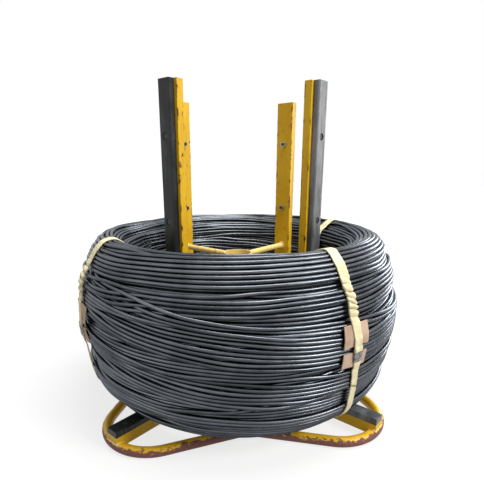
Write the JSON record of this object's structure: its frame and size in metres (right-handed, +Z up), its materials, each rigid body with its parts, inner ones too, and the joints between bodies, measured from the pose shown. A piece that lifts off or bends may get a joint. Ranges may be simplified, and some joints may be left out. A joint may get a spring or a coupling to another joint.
{
  "type": "coil of wire rod",
  "caption": "Upright coil of dark drawn steel wire, bound with paper-wrapped straps and standing on a yellow steel carrier with posts through its bore.",
  "frame": {"origin": "on the floor under the coil's axis", "axes": "+Z up along the coil's axis; the carrier's arms lie along X and Y"},
  "size_m": [0.9872, 0.9872, 0.895],
  "materials": {
    "wire": "dark drawn steel wire with a thin phosphate and lubricant film, semi-gloss",
    "strap": "creased cream crepe paper wrapping",
    "seal": "crimped sheet steel",
    "cardboard": "plain buff cardboard",
    "yellow_paint": "worn yellow paint with rust chips",
    "pale_paint": "thin pale yellow paint",
    "worn_paint": "yellow paint worn to rust-red along the outer side",
    "black_bar": "scuffed black",
    "wear_strip": "scuffed black",
    "screw": "dull steel",
    "nut": "zinc plated"
  },
  "bodies": {
    "root": {"wire_coil": "wire", "strap_1": "strap", "seal_1": "seal", "pad_upper_1": "cardboard", "pad_lower_1": "cardboard", "arm_1": "yellow_paint", "arm_pad_1": "black_bar", "post_1": "yellow_paint", "wear_strip_1": "wear_strip", "spoke_1": "pale_paint", "strap_2": "strap", "seal_2": "seal", "pad_upper_2": "cardboard", "pad_lower_2": "cardboard", "arm_2": "yellow_paint", "arm_pad_2": "black_bar", "post_2": "yellow_paint", "wear_strip_2": "wear_strip", "spoke_2": "pale_paint", "strap_3": "strap", "seal_3": "seal", "pad_upper_3": "cardboard", "pad_lower_3": "cardboard", "arm_3": "yellow_paint", "arm_pad_3": "black_bar", "post_3": "yellow_paint", "wear_strip_3": "wear_strip", "spoke_3": "pale_paint", "strap_4": "strap", "seal_4": "seal", "pad_upper_4": "cardboard", "pad_lower_4": "cardboard", "arm_4": "yellow_paint", "arm_pad_4": "black_bar", "post_4": "yellow_paint", "wear_strip_4": "wear_strip", "spoke_4": "pale_paint", "base_loop": "worn_paint", "centre_tube": "pale_paint", "strip_screws": "screw", "strip_nuts": "nut"}
  },
  "joints": []
}
